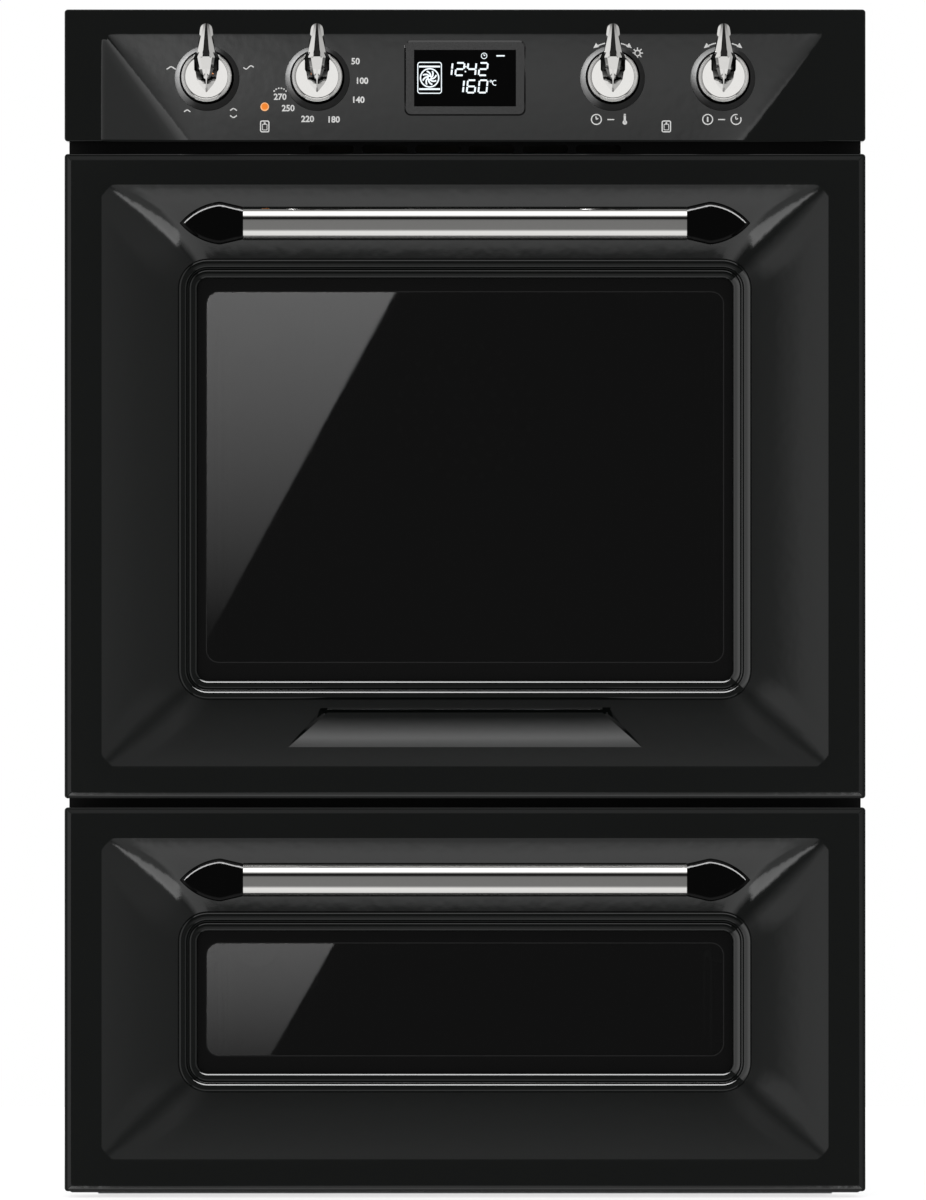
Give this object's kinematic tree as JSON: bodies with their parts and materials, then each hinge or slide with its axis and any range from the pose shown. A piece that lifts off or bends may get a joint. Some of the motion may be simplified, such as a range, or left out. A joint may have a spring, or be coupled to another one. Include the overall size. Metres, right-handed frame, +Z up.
{
  "type": "wall oven",
  "caption": "Built-in double wall oven with a large fan oven over a small static oven, drop-down framed doors, bar handles and lever knobs.",
  "frame": {"origin": "centre of the chassis on the plane it stands on, midway between the front frame and the back cover", "axes": "+Z up, the doors face -Y, +X is to the right of someone facing the doors"},
  "size_m": [0.597, 0.6265, 0.885],
  "materials": {
    "black_enamel": "gloss",
    "frame_black": "matt",
    "galvanised_casing": "satin",
    "cavity_enamel": "satin",
    "mineral_wool": "matt",
    "clear_glass": "gloss",
    "printed_glass": "gloss",
    "polished_chrome": "polished",
    "black_gloss": "gloss",
    "black_collar": "gloss",
    "display_black": "gloss",
    "heating_tube": "matt",
    "hinge_steel": "satin",
    "shaft_steel": "satin",
    "wire_chrome": "polished",
    "fan_steel": "satin",
    "seal": "matt",
    "ceramic": "matt",
    "motor_grey": "matt",
    "board_green": "matt",
    "switch_plastic": "matt",
    "orange_lens": "gloss",
    "blower_aluminium": "satin"
  },
  "bodies": {
    "chassis": {"base_panel": "galvanised_casing", "side_panels": "galvanised_casing", "top_cover": "galvanised_casing", "back_cover": "galvanised_casing", "front_frame": "frame_black", "divider_plate": "galvanised_casing", "main_cavity": "cavity_enamel", "lower_cavity": "cavity_enamel", "insulation": "mineral_wool", "fan_cover": "cavity_enamel", "ring_element": "heating_tube", "fan_motor": "motor_grey", "grill_elements": "heating_tube", "shelf_ladders": "wire_chrome", "door_gaskets": "seal", "lamp_holders": "ceramic", "lamp_lenses": "clear_glass", "blower_housing": "galvanised_casing", "blower_motor": "motor_grey", "control_panel": "black_enamel", "display_bezel": "black_collar", "display_glass": "display_black", "control_boards": "board_green", "indicator_lens": "orange_lens", "knob_rings": "black_collar", "rotary_switches": "switch_plastic", "encoders": "switch_plastic", "terminal_block": "switch_plastic", "casing_screws": "shaft_steel", "hinge_arms": "hinge_steel", "hinge_receivers": "galvanised_casing"},
    "main_door": {"main_door_front": "black_enamel", "main_door_bead": "black_enamel", "main_outer_glass": "printed_glass", "main_middle_glass": "clear_glass", "main_inner_glass": "clear_glass", "main_door_rails": "galvanised_casing", "main_hinge_cases": "hinge_steel", "main_handle_bar": "polished_chrome", "main_handle_caps": "black_gloss"},
    "lower_door": {"lower_door_front": "black_enamel", "lower_door_bead": "black_enamel", "lower_outer_glass": "printed_glass", "lower_inner_glass": "clear_glass", "lower_door_rails": "galvanised_casing", "lower_hinge_cases": "hinge_steel", "lower_handle_bar": "polished_chrome", "lower_handle_caps": "black_gloss"},
    "selector": {"selector_knob": "polished_chrome", "selector_shaft": "shaft_steel"},
    "thermostat": {"thermostat_knob": "polished_chrome", "thermostat_shaft": "shaft_steel"},
    "temperature_rotor": {"temperature_rotor": "switch_plastic"},
    "temperature_knob": {"temperature_knob": "polished_chrome", "temperature_shaft": "shaft_steel"},
    "function_rotor": {"function_rotor": "switch_plastic"},
    "function_knob": {"function_knob": "polished_chrome", "function_shaft": "shaft_steel"},
    "oven_fan": {"convection_fan": "fan_steel"},
    "cooling_fan": {"blower_wheel": "blower_aluminium"}
  },
  "joints": [
    {"name": "main_door_hinge", "type": "hinge", "parent": "chassis", "child": "main_door", "pos_m": [0, -0.294, 0.3119], "axis": [1, 0, 0], "range_deg": [0, 90], "stiffness_Nm_per_rad": 10, "springref_deg": -17.19},
    {"name": "lower_door_hinge", "type": "hinge", "parent": "chassis", "child": "lower_door", "pos_m": [0, -0.294, 0.019], "axis": [1, 0, 0], "range_deg": [0, 90], "stiffness_Nm_per_rad": 3, "springref_deg": -17.19},
    {"name": "selector_turn", "type": "hinge", "parent": "chassis", "child": "selector", "pos_m": [-0.1923, -0.304, 0.8341], "axis": [0, 1, 0], "range_deg": [0, 286]},
    {"name": "thermostat_turn", "type": "hinge", "parent": "chassis", "child": "thermostat", "pos_m": [-0.11, -0.304, 0.8341], "axis": [0, 1, 0], "range_deg": [0, 250]},
    {"name": "temperature_turn", "type": "hinge", "parent": "chassis", "child": "temperature_rotor", "pos_m": [0.11, -0.304, 0.8341], "axis": [0, 1, 0], "range_deg": [-30, 30], "stiffness_Nm_per_rad": 0.2},
    {"name": "temperature_push", "type": "slide", "parent": "temperature_rotor", "child": "temperature_knob", "axis": [0, 1, 0], "range_m": [0, 0.002], "stiffness_N_per_m": 900, "springref_m": -0.001},
    {"name": "function_turn", "type": "hinge", "parent": "chassis", "child": "function_rotor", "pos_m": [0.1923, -0.304, 0.8341], "axis": [0, 1, 0], "range_deg": [-30, 30], "stiffness_Nm_per_rad": 0.2},
    {"name": "function_push", "type": "slide", "parent": "function_rotor", "child": "function_knob", "axis": [0, 1, 0], "range_m": [0, 0.002], "stiffness_N_per_m": 900, "springref_m": -0.001},
    {"name": "oven_fan_spin", "type": "hinge", "parent": "chassis", "child": "oven_fan", "pos_m": [0, 0.136, 0.5919], "axis": [0, 1, 0], "continuous": true},
    {"name": "cooling_fan_spin", "type": "hinge", "parent": "chassis", "child": "cooling_fan", "pos_m": [0, 0.04, 0.7844], "axis": [1, 0, 0], "continuous": true}
  ]
}
